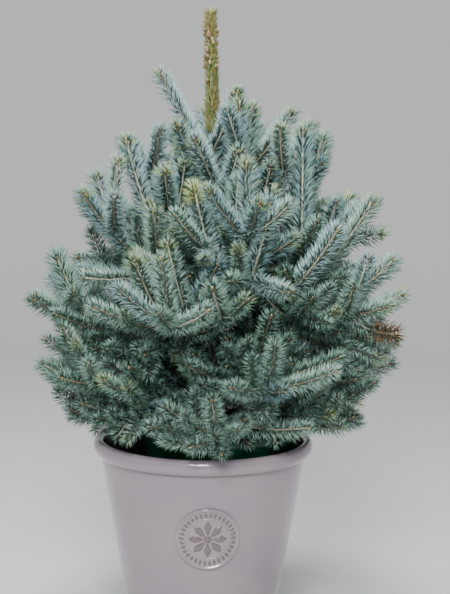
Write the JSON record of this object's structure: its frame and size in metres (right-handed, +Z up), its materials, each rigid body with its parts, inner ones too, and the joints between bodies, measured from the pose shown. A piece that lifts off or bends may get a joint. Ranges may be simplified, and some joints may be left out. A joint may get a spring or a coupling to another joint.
{
  "type": "potted blue spruce",
  "caption": "Young blue spruce with whorled boughs, dense needle sprays and an upright leader, in a plastic nursery pot set inside a tapered glazed planter with a rolled rim",
  "frame": {"origin": "the centre of the planter's flat underside", "axes": "+Z up along the tree; -Y is the front, where the planter's medallion is; +X is to the right seen from the front"},
  "size_m": [0.623, 0.6333, 1.1122],
  "materials": {
    "glaze": "glossy glaze, warm light grey",
    "green_plastic": "smooth moulded plastic, dark green",
    "compost": "crumbly, dark brown, matte",
    "bark": "rough scaly bark, grey brown",
    "needles": "waxy blue-green needles",
    "leader_needles": "yellow-green needles"
  },
  "bodies": {
    "root": {"planter": "glaze", "nursery_pot": "green_plastic", "compost": "compost", "trunk": "bark", "bough_skirt_1": "bark", "foliage_skirt_1": "needles", "bough_skirt_2": "bark", "foliage_skirt_2": "needles", "bough_skirt_3": "bark", "foliage_skirt_3": "needles", "bough_skirt_4": "bark", "foliage_skirt_4": "needles", "bough_lower_1": "bark", "foliage_lower_1": "needles", "bough_lower_2": "bark", "foliage_lower_2": "needles", "bough_lower_3": "bark", "foliage_lower_3": "needles", "bough_lower_4": "bark", "foliage_lower_4": "needles", "bough_lower_5": "bark", "foliage_lower_5": "needles", "bough_middle_1": "bark", "foliage_middle_1": "needles", "bough_middle_2": "bark", "foliage_middle_2": "needles", "bough_middle_3": "bark", "foliage_middle_3": "needles", "bough_middle_4": "bark", "foliage_middle_4": "needles", "bough_middle_5": "bark", "foliage_middle_5": "needles", "bough_upper_1": "bark", "foliage_upper_1": "needles", "bough_upper_2": "bark", "foliage_upper_2": "needles", "bough_upper_3": "bark", "foliage_upper_3": "needles", "bough_upper_4": "bark", "foliage_upper_4": "needles", "bough_upper_5": "bark", "foliage_upper_5": "needles", "bough_shoulder_1": "bark", "foliage_shoulder_1": "needles", "bough_shoulder_2": "bark", "foliage_shoulder_2": "needles", "bough_shoulder_3": "bark", "foliage_shoulder_3": "needles", "bough_shoulder_4": "bark", "foliage_shoulder_4": "needles", "bough_shoulder_5": "bark", "foliage_shoulder_5": "needles", "foliage_crown_1": "needles", "foliage_crown_2": "needles", "foliage_crown_3": "needles", "foliage_top_1": "needles", "foliage_top_2": "needles", "foliage_top_3": "needles", "foliage_top_4": "needles", "foliage_leader": "leader_needles"}
  },
  "joints": []
}
